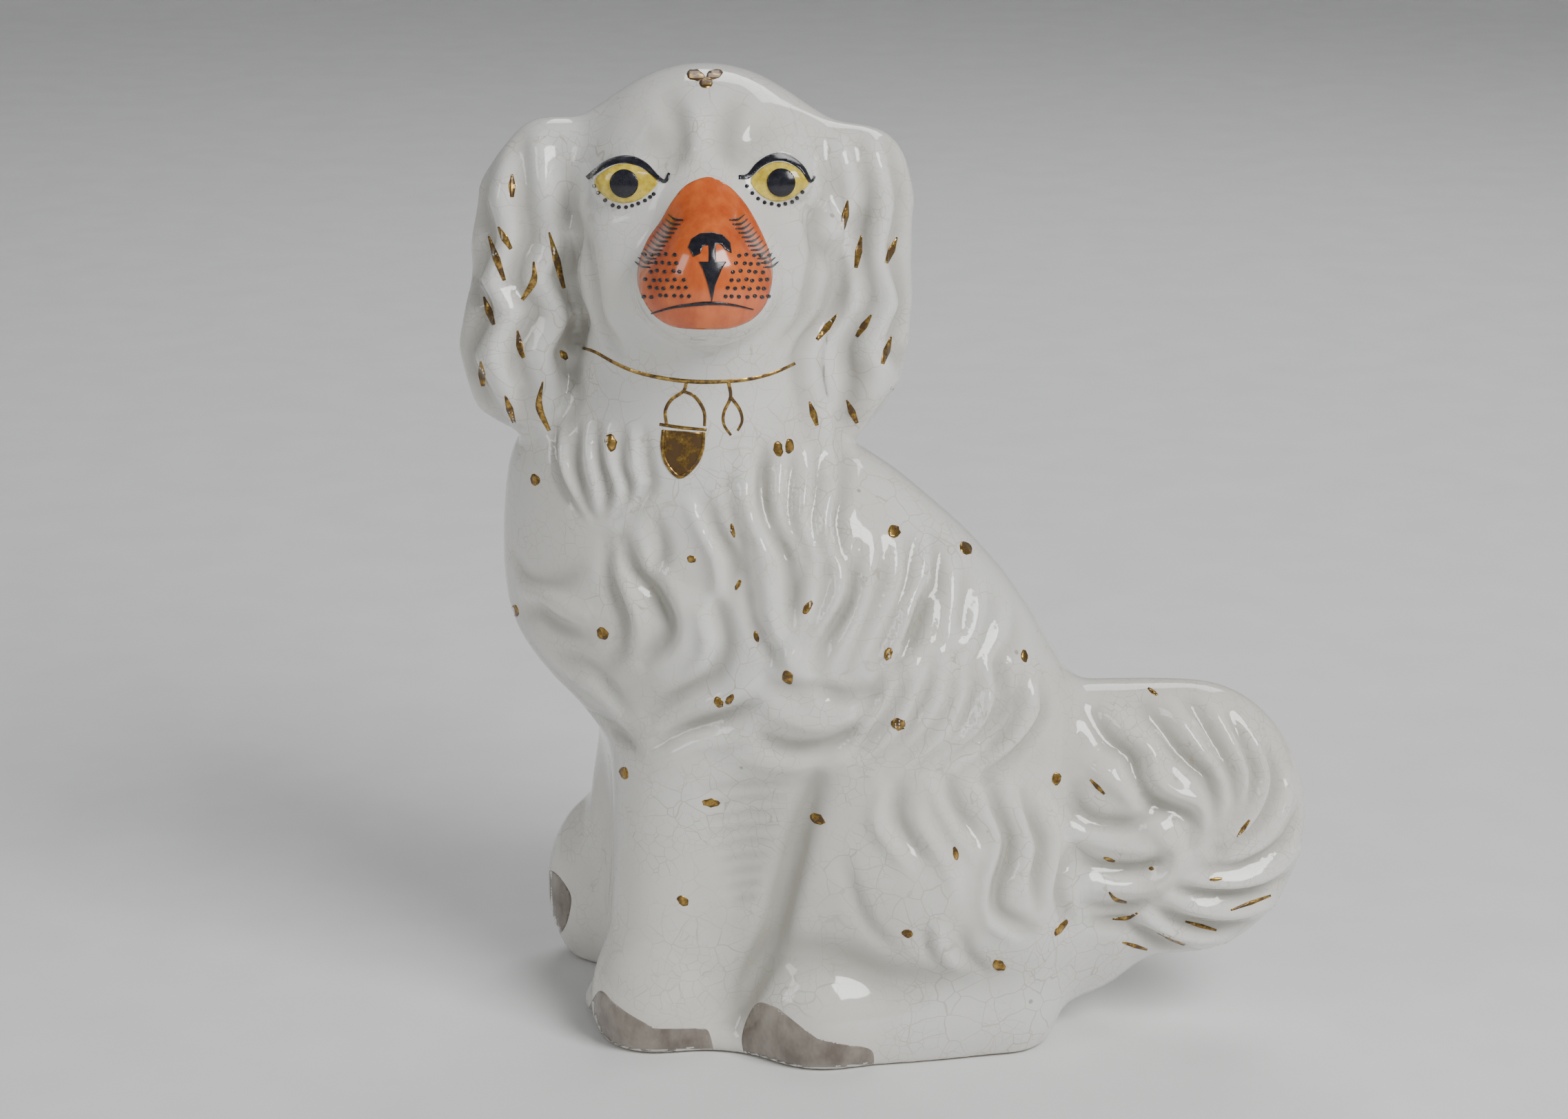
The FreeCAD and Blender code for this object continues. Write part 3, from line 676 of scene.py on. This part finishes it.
def gilding_material(name="worn_gilding", wear=0.42):
    """Burnished gold rubbed through to a dull brown in specks."""
    material, nodes, links, shader = new_material(name)
    rub = noise(nodes, links, object_coords(nodes), 320.0, 4.0, Roughness=0.7).outputs["Fac"]
    brown, bronze, bright = (0.10, 0.055, 0.02), (0.36, 0.22, 0.06), (0.78, 0.54, 0.19)
    tint = ramp(nodes, links, rub, ((wear, brown), (wear + 0.13, bronze), (0.78, bright)))
    links.new(tint, shader.inputs["Base Color"])
    metal = ramp(nodes, links, rub, ((wear - 0.05, 0.25), (wear + 0.1, 1.0)))
    links.new(metal, shader.inputs["Metallic"])
    links.new(remap(nodes, links, rub, 0.0, 1.0, 0.42, 0.2), shader.inputs["Roughness"])
    return material


# ---- Painted marks: thin closed coats on the surface ----

def coat(name, skin, outlines, material, lift=0.10, sink=0.25, spacing=1.0):
    """Closed thin pieces over the surface inside each outline drawn on the board."""
    points, faces = [], []
    for outline in outlines:
        outline = np.array(outline)
        low, high = outline.min(axis=0), outline.max(axis=0)
        across, up = (np.arange(a, b, spacing) for a, b in zip(low, high))
        grid = [Vector((x, z)) for x in across for z in up]
        rim = [Vector(p) for p in outline]
        edges = [(i, (i + 1) % len(rim)) for i in range(len(rim))]
        flat, _, triangles, _, _, _ = delaunay_2d_cdt(rim + grid, edges, [], 1, 1e-4)
        hits = [skin.drawn(p.x, p.y) for p in flat]
        keep = [t for t in triangles if all(hits[i] for i in t)]
        used = sorted({i for t in keep for i in t})
        index = {i: n for n, i in enumerate(used)}
        base, count = len(points), len(used)
        for offset in (lift, -sink):
            points += [hits[i][0] + hits[i][1] * offset for i in used]
        for t in keep:
            a, b, c = (index[i] + base for i in t)
            faces.append((a, b, c))
            faces.append((c + count, b + count, a + count))
        sides = {}
        for t in keep:
            for i, j in zip(t, t[1:] + t[:1]):
                sides[(i, j)] = sides.get((i, j), 0) + 1
        for i, j in sides:
            if (j, i) not in sides:
                a, b = index[i] + base, index[j] + base
                faces.append((b, a, a + count, b + count))
    item = make_object(name, points, faces, material)
    fix_normals(item)
    return item


def fix_normals(item):
    work = bmesh.new()
    work.from_mesh(item.data)
    bmesh.ops.remove_doubles(work, verts=work.verts, dist=1e-7)
    bmesh.ops.recalc_face_normals(work, faces=work.faces)
    work.to_mesh(item.data)
    work.free()


def closed_curve(points, step=0.8):
    """A smooth closed outline: one lap, from the first point round to it again."""
    line = smooth_line(points[-2:] + points + points[:2], step)
    gap = np.linalg.norm(line - np.array(points[0]), axis=1)
    first = int(gap.argmin())
    clear = first + 5                # far enough on for the start not to be found twice
    return line[first:clear + int(gap[clear:].argmin())]


def brush(points, widths, step=0.7):
    """The outline of a brush stroke along points; widths are at its start, middle and end."""
    line = smooth_line(points, step)
    share = np.linspace(0, 1, len(line))
    half = np.interp(share, (0, 0.5, 1), widths) / 2
    along = np.gradient(line, axis=0)
    along /= np.linalg.norm(along, axis=1, keepdims=True) + 1e-9
    side = np.stack((-along[:, 1], along[:, 0]), axis=1) * half[:, None]
    return np.vstack((line + side, (line - side)[::-1]))


def spot(centre, radius, count=10):
    """The outline of a round dot."""
    return [(centre[0] + radius * math.cos(2 * math.pi * i / count),
             centre[1] + radius * math.sin(2 * math.pi * i / count)) for i in range(count)]


# ---- Build the clay ----

def part_of(name, points, quads, shift, planes, materials):
    """The body cut to the right side of each plane (place, outward normal) and closed with flat caps."""
    work = bmesh.new()
    mesh = bpy.data.meshes.new(name)
    mesh.from_pydata((points * MM).tolist(), [], quads.tolist())
    mesh.update()
    layer = mesh.attributes.new("relief", "FLOAT", "POINT")
    layer.data.foreach_set("value", shift.astype(np.float32))
    work.from_mesh(mesh)
    for face in work.faces:
        face.smooth = True
    for place, out in planes:
        everything = work.verts[:] + work.edges[:] + work.faces[:]
        cut = bmesh.ops.bisect_plane(work, geom=everything, dist=1e-6, plane_co=Vector(place) * MM,
                                     plane_no=Vector(out), clear_outer=True)
        rim = [e for e in cut["geom_cut"] if isinstance(e, bmesh.types.BMEdge) and e.is_boundary]
        caps = bmesh.ops.triangle_fill(work, edges=rim, use_beauty=False, use_dissolve=False)
        for face in (f for f in caps["geom"] if isinstance(f, bmesh.types.BMFace)):
            face.smooth = False
            face.material_index = 1
        for edge in rim:
            edge.smooth = False
    bmesh.ops.recalc_face_normals(work, faces=work.faces)
    work.to_mesh(mesh)
    work.free()
    for material in materials:
        mesh.materials.append(material)
    item = bpy.data.objects.new(name, mesh)
    bpy.context.scene.collection.objects.link(item)
    return item


glaze, clay = glaze_material(), clay_material()
orange = enamel_material("orange_enamel", (0.47, 0.075, 0.014), (0.68, 0.155, 0.035), 130.0, 0.16,
                         (1, 1, 0.45))
black = enamel_material("black_enamel", (0.008, 0.008, 0.012), (0.02, 0.02, 0.028), 500.0, 0.2, coat=0.1)
yellow = enamel_material("yellow_enamel", (0.50, 0.36, 0.03), (0.80, 0.63, 0.10), 380.0, 0.15)
wash = enamel_material("toe_wash", (0.15, 0.122, 0.098), (0.33, 0.29, 0.245), 90.0, 0.24, (1, 1, 0.6))
gold = gilding_material()
olive = gilding_material("rubbed_padlock", 0.50)

blank_points, quads = sculpt().mesh()
points, shift = groom(blank_points, quads)
near_half = part_of("near_half", points, quads, shift,
                    (((0, PARTING, 0), (0, 1, 0)), ((0, 0, SLAB), (0, 0, -1))), (glaze, clay))
far_half = part_of("far_half", points, quads, shift,
                   (((0, PARTING, 0), (0, -1, 0)), ((0, 0, SLAB), (0, 0, -1))), (glaze, clay))
foot = part_of("foot", points, quads, shift, (((0, 0, SLAB), (0, 0, 1)),), (glaze, clay))
for face in foot.data.polygons:
    if face.normal.z < -0.9:
        face.material_index = 1
hand_in(near_half, "glazed_body", "front_shell", "seam_roll")
hand_in(far_half, "glazed_body", "back_shell")
hand_in(foot, "fired_clay", "base_slab")

# ---- Paint the face ----

skin = Skin(points, quads)
rng = random.Random(11)
OVER = 0.40                          # lift of black drawn over another enamel

MUZZLE = ((-60, 294.6), (-56, 293.6), (-51.8, 290.7), (-47.5, 285.6), (-43.8, 279), (-41.2, 273),
          (-39.8, 267.5), (-39.7, 262), (-41.5, 255), (-44.8, 250.5), (-49.3, 247.8), (-54.8, 246.5),
          (-64.8, 246.5), (-71.3, 247.5), (-76.6, 251), (-80.2, 256.8), (-81.6, 262.3), (-80.8, 268.5),
          (-78.2, 275), (-74.3, 280.6), (-70.4, 287.2), (-66, 292.2))
NOSE = ((-64, 269.5), (-65.6, 272.4), (-64.6, 275), (-62, 276.7), (-58.5, 277.1), (-55, 276.2),
        (-52.8, 273.8), (-52.4, 270.6), (-54.2, 271.6), (-55.6, 273.3), (-57.3, 273.6), (-57.2, 267.9),
        (-54, 267.9), (-55.4, 265.6), (-57.4, 260.5), (-58.5, 255.2), (-59.6, 260.5), (-61.2, 265.6),
        (-62.4, 267.9), (-59.4, 267.9), (-59.4, 273.2), (-61.2, 272.8), (-62, 270.4))
MOUTH = ((-77.2, 251.5), (-71.2, 253.3), (-65, 254.3), (-58.3, 254.8), (-51.8, 254.2), (-45.7, 252.8))
EYES = {
    "left": {
        "iris": ((-94.5, 293.5), (-91, 296.8), (-87, 298.6), (-83, 298.6), (-79, 296.8), (-75, 293.3),
                 (-77.5, 289.8), (-81, 287.4), (-85.5, 286.5), (-90, 287.6), (-93, 290.2)),
        "pupil": (-85.3, 292.6),
        "lid": ((-96.5, 294.3), (-91.5, 298), (-87, 299.8), (-83, 299.8), (-79, 298.2), (-75.3, 294.8),
                (-72.6, 293.2), (-71.3, 295.8)),
        "lashes": ((-94.5, 291.8), (-93.3, 289.7), (-91.2, 287.4), (-88.9, 285.8), (-87, 285.2),
                   (-84.8, 285.2), (-82.9, 285.7), (-81, 286.4), (-78.9, 287.3), (-77.3, 288.4),
                   (-76.2, 289.3)),
    },
    "right": {
        "iris": ((-46.3, 293.6), (-43.6, 296.8), (-40, 299), (-36, 299.2), (-32, 297.4), (-28.3, 293),
                 (-31, 289.8), (-34.6, 287.6), (-38.6, 287), (-42.4, 288.4), (-45, 290.8)),
        "pupil": (-36.9, 292.9),
        "lid": ((-50, 294.5), (-47, 294.9), (-43.8, 298.2), (-40.5, 300.2), (-37.4, 300.8), (-34.2, 300),
                (-30.5, 297.2), (-28, 293.2), (-26.8, 294.9)),
        "lashes": ((-47.5, 291.8), (-45.8, 289.6), (-44, 287.9), (-42, 286.7), (-39.8, 286.3),
                   (-37.6, 285.8), (-35.6, 286.3), (-33.5, 286.9), (-32, 288.1), (-30.4, 290)),
    },
}
MIDDLE = -60                         # board X that the whisker marks mirror about
DOT_ROWS, HAIRS = 6, 12


def whisker_marks():
    """Dots in rows over the lip and curved hairs along the muzzle's edges."""
    dots, hairs = [], []
    for row in range(DOT_ROWS):
        z = 257 + 2.6 * row
        for column in range(7 - row // 2):
            x = 5.5 + row * 0.9 + 2.3 * column
            if x < 19.5:
                for side in (-1, 1):
                    place = (MIDDLE + side * x + rng.uniform(-0.3, 0.3), z + rng.uniform(-0.3, 0.3))
                    dots.append(spot(place, 0.6))
    for side in (-1, 1):
        for step in range(HAIRS):
            x, z = MIDDLE + side * (7 + 0.95 * step), 281 - 1.35 * step
            line = ((x, z), (x + side * 2.6, z + 0.2), (x + side * 4.6, z + 1.8))
            hairs.append(brush(line, (0.3, 0.75, 0.2)))
    return dots, hairs


def enamel(name, outlines, material, slot, **how):
    return hand_in(coat(name + "_paint", skin, outlines, material, **how), slot, name)


enamel("muzzle_enamel", [closed_curve(MUZZLE)], orange, "orange_enamel", spacing=0.8)
enamel("nose_enamel", [NOSE], black, "black_enamel", lift=OVER, spacing=0.5)
enamel("mouth_line", [brush(MOUTH, (0.4, 1.1, 0.3))], black, "black_enamel", lift=OVER, spacing=0.5)
dots, hairs = whisker_marks()
enamel("whisker_dots", dots, black, "black_enamel", lift=OVER, spacing=0.5)
enamel("whisker_hairs", hairs, black, "black_enamel", lift=OVER, spacing=0.5)
for side, eye in EYES.items():
    enamel(f"{side}_iris", [closed_curve(eye["iris"])], yellow, "yellow_enamel", spacing=0.6)
    pupil, lid = spot(eye["pupil"], 4.3, count=28), brush(eye["lid"], (1.2, 2.3, 0.6))
    enamel(f"{side}_pupil", [pupil], black, "black_enamel", lift=OVER, spacing=0.6)
    enamel(f"{side}_eyelid", [lid], black, "black_enamel", lift=OVER + 0.05, spacing=0.6)
    lashes = [spot(place, 0.62) for place in eye["lashes"]]
    enamel(f"{side}_lash_dots", lashes, black, "black_enamel", lift=0.2)

# ---- Gild and wash ----

COLLAR = ((-99, 240.4), (-95, 239), (-88.6, 235.3), (-82, 232.5), (-73.3, 230.5), (-64.5, 229.5),
          (-55.7, 229.5), (-47, 230.3), (-39.3, 232.3), (-32.5, 235.4))
PADLOCK = ((-74, 213.8), (-74.4, 208), (-73, 202.5), (-69, 198.4), (-64.4, 201.8), (-61.8, 207),
           (-61.2, 213))
SHACKLE = ((-66.6, 229.3), (-67.6, 226.4), (-71.4, 223.6), (-73.3, 220), (-73, 215.5))
SHACKLE_RIGHT = ((-67.6, 226.4), (-64, 224.6), (-61.2, 220), (-61, 215))
PADLOCK_BAR = ((-75.2, 215.6), (-68, 214.5), (-60.4, 213.8))
CHAIN = (((-53.4, 229.2), (-52.8, 224.5), (-54.9, 219.5), (-54.9, 215.5), (-52.7, 212)),
         ((-52.8, 224.5), (-50, 220.5), (-49.2, 216.7), (-50.6, 213.5)))
EAR_STROKES = {
    "left": (((-119.8, 295.5), (-120, 288.3)), ((-124.5, 279), (-120.7, 272)), ((-127.5, 276), (-123, 262)),
             ((-108.7, 277.3), (-104.5, 259.5)), ((-113.7, 268), (-113.8, 262), (-117.6, 255.8)),
             ((-129.5, 256.8), (-126.6, 247.8)), ((-119.3, 246), (-118.5, 240), (-117.5, 237.2)),
             ((-106, 239.5), (-104, 236.7)), ((-131, 236), (-130.5, 228)), ((-123.6, 225), (-121, 216.2)),
             ((-111.7, 229.5), (-113, 221.5), (-110, 213.5))),
    "right": (((-16.3, 287.3), (-17.8, 278)), ((-12, 276.3), (-13.7, 266)), ((-1, 275.7), (-4.3, 267.5)),
              ((-19.5, 251), (-25.7, 243)), ((-8.7, 251), (-13.3, 244)), ((-2.5, 244), (-5.2, 235.2)),
              ((-28, 223), (-25.6, 215.2)), ((-16.3, 223.5), (-13, 216)), ((-2.2, 227.7), (-1, 223))),
}
TAIL_STROKES = (
    ((63.6, 95.8), (68.4, 90.7)), ((68.7, 68.4), (72.4, 67)), ((83.6, 64.6), (85.3, 64.4)),
    ((70.8, 56.2), (73, 53.6), (76.7, 52.5)), ((72.3, 46.6), (77.2, 47), (80.4, 48.8)),
    ((75.7, 38.3), (84, 35.6)), ((87.3, 41.8), (96.3, 37.3)), ((96.2, 45.7), (106.6, 42.5)),
    ((111, 49.7), (117.4, 52.3), (124, 55)), ((103.7, 60.5), (107.8, 61)), ((112.2, 75.7), (116, 81.7)),
    ((81.4, 127.4), (84.5, 124.9)),
)
# Flecks: the middle, the length, the width and the lean from upright in degrees.
FLECKS = {
    "chest": ((-90.6, 209.7, 6, 3.6, 5), (-37.8, 207.5, 5, 3, 10), (-34.3, 208.5, 5, 3, -5),
              (-114.8, 197.3, 4, 3, 15), (-122, 153.7, 4.5, 2.2, 10), (-94.2, 146, 4.5, 3.4, 30),
              (-65.5, 171, 3, 2.4, 60), (-52.3, 180.5, 5, 1.4, 10), (-50.7, 162.3, 4, 1.4, -25),
              (-44.9, 145, 4, 1.6, 15), (-28.4, 154.7, 5.5, 2.2, -30)),
    "flank": ((-1, 180.2, 4.5, 4, 20), (22, 174.6, 5, 3.4, 35), (-2.5, 139, 4.5, 2.6, -20),
              (-34.8, 131, 5, 3.4, 25), (-57, 122.5, 4, 2.8, 30), (-53.5, 123.5, 4, 2.2, -35),
              (1, 115, 5, 4.4, 60), (41.3, 138.3, 4.5, 2.2, 10)),
    "leg": ((-88, 98, 4.5, 3, 15), (-59.8, 87.6, 6, 3, 85), (-25, 82, 5.5, 3.2, 55),
            (-69.3, 53.1, 4.5, 3.4, 40), (52.6, 96, 4.5, 3.2, 0), (20.2, 69.8, 5, 1.8, 10),
            (4.7, 41.4, 4, 3, 70), (35.2, 30, 5, 3.6, 50), (55.3, 43.4, 7, 2.4, -35)),
}
CROWN = ((-63, 326.2, 5.6, 3.6, 75), (-57.4, 326.4, 5.4, 3.2, -70), (-59.8, 324, 3.6, 4.2, 10))
WASHES = {
    "near_forepaw_wash": ((-97.5, 20.5), (-92.5, 16.5), (-87.8, 12.6), (-81.3, 8.6), (-77.5, 7),
                          (-65.3, 7.2), (-60.6, 4.6), (-60.5, -12), (-80, -16), (-96, -6), (-102, 8)),
    "near_hind_paw_wash": ((-45.6, 15.6), (-39, 14.9), (-35.2, 12), (-29.6, 7.2), (-24, 3.4), (-16.6, 1.4),
                           (-6.4, -1.6), (-10, -14), (-30, -18), (-44, -12), (-50, 2)),
    "far_forepaw_wash": ((-113.5, 64), (-110.5, 62.5), (-107.7, 58.6), (-106, 54.6), (-106.4, 49.7),
                         (-108.2, 43.7), (-112, 40), (-120, 42), (-120, 62)),
}
FLECK_POINTS = 14


def fleck(x, z, length, width, lean):
    """A dab of the brush: an uneven lens."""
    c, s = math.cos(math.radians(lean)), math.sin(math.radians(lean))
    outline = []
    for step in range(FLECK_POINTS):
        around = 2 * math.pi * step / FLECK_POINTS
        a = width / 2 * math.cos(around) * rng.uniform(0.8, 1.15)
        b = length / 2 * math.sin(around) * rng.uniform(0.88, 1.08)
        outline.append((x + a * c - b * s, z + a * s + b * c))
    return outline


def gilt(name, outlines, material=gold, **how):
    return hand_in(coat(name + "_leaf", skin, outlines, material, **how), "gilding", name)


gilt("collar_gilding", [brush(COLLAR, (0.9, 1.3, 0.9))])
gilt("padlock_gilding", [PADLOCK], olive)
hand_in(coat("padlock_edge", skin, [brush(PADLOCK, (0.9, 1.2, 0.9))], gold, lift=0.3), "gilding")
bows = (SHACKLE, SHACKLE_RIGHT, PADLOCK_BAR)
gilt("padlock_shackle_gilding", [brush(line, (1.0, 1.1, 0.9)) for line in bows])
gilt("chain_gilding", [brush(line, (1.1, 1.0, 0.8)) for line in CHAIN])
for side, strokes in EAR_STROKES.items():
    gilt(f"{side}_ear_gilding", [brush(line, (0.5, 2.3, 1.1)) for line in strokes])
gilt("tail_gilding", [brush(line, (0.6, 1.5, 0.7)) for line in TAIL_STROKES])
for region, dabs in FLECKS.items():
    gilt(f"{region}_gilding", [fleck(*dab) for dab in dabs])
hand_in(coat("crown_fleck", skin, [fleck(*dab) for dab in CROWN], olive), "gilding")
for name, outline in WASHES.items():
    enamel(name, [closed_curve(outline)], wash, "toe_wash", lift=0.08)

# ---- Floor, light and camera ----

def floor():
    """A pale round floor that curves up into a wall on every side."""
    level_to, bend, top, sides = 2.2, 0.8, 2.6, 72
    profile = [(0.02, 0), (level_to, 0)]
    for a in np.radians(range(9, 91, 9)):
        profile.append((level_to + bend * math.sin(a), bend - bend * math.cos(a)))
    profile.append((level_to + bend, top))
    verts = [(radius * math.cos(2 * math.pi * i / sides), radius * math.sin(2 * math.pi * i / sides), z)
             for radius, z in profile for i in range(sides)]
    faces = [tuple(range(sides))]
    for row in range(len(profile) - 1):
        for i in range(sides):
            j = (i + 1) % sides
            faces.append((row * sides + i, (row + 1) * sides + i, (row + 1) * sides + j, row * sides + j))
    material, nodes, links, shader = new_material("pale_paper")
    grain = noise(nodes, links, object_coords(nodes), 30.0, 3.0).outputs["Fac"]
    tint = ramp(nodes, links, grain, ((0.3, (0.78, 0.78, 0.775)), (0.7, (0.82, 0.82, 0.815))))
    links.new(tint, shader.inputs["Base Color"])
    finish_with(shader, Roughness=0.85)
    make_object("studio_floor", np.array(verts) / MM, faces, material)


def softbox(name, place, aim, size, power):
    data = bpy.data.lights.new(name, "AREA")
    data.shape = "RECTANGLE"
    data.size, data.size_y, data.energy = *size, power
    lamp = bpy.data.objects.new(name, data)
    lamp.location = place
    lamp.rotation_euler = (Vector(aim) - Vector(place)).to_track_quat("-Z", "Y").to_euler()
    bpy.context.scene.collection.objects.link(lamp)


floor()
softbox("key", (0.85, -0.95, 1.25), (0, 0, 0.16), (0.8, 0.8), 28)
softbox("fill", (-1.3, -0.9, 1.0), (0, 0, 0.14), (0.5, 0.9), 5)
softbox("back", (0.3, 1.2, 1.4), (0, 0, 0.16), (1.2, 0.7), 10)
world = bpy.data.worlds.new("studio")
world.use_nodes = True
world.node_tree.nodes["Background"].inputs[0].default_value = (0.9, 0.93, 1.0, 1)
world.node_tree.nodes["Background"].inputs[1].default_value = 0.13
bpy.context.scene.world = world

lens = bpy.data.cameras.new("photograph")
lens.lens = 83.2
lens.sensor_width = 36
lens.shift_y = 0.0145
camera = bpy.data.objects.new("photograph", lens)
camera.location = EYE * MM
camera.rotation_euler = (math.radians(72), 0, 0)
bpy.context.scene.collection.objects.link(camera)
bpy.context.scene.camera = camera

bpy.context.view_layer.update()
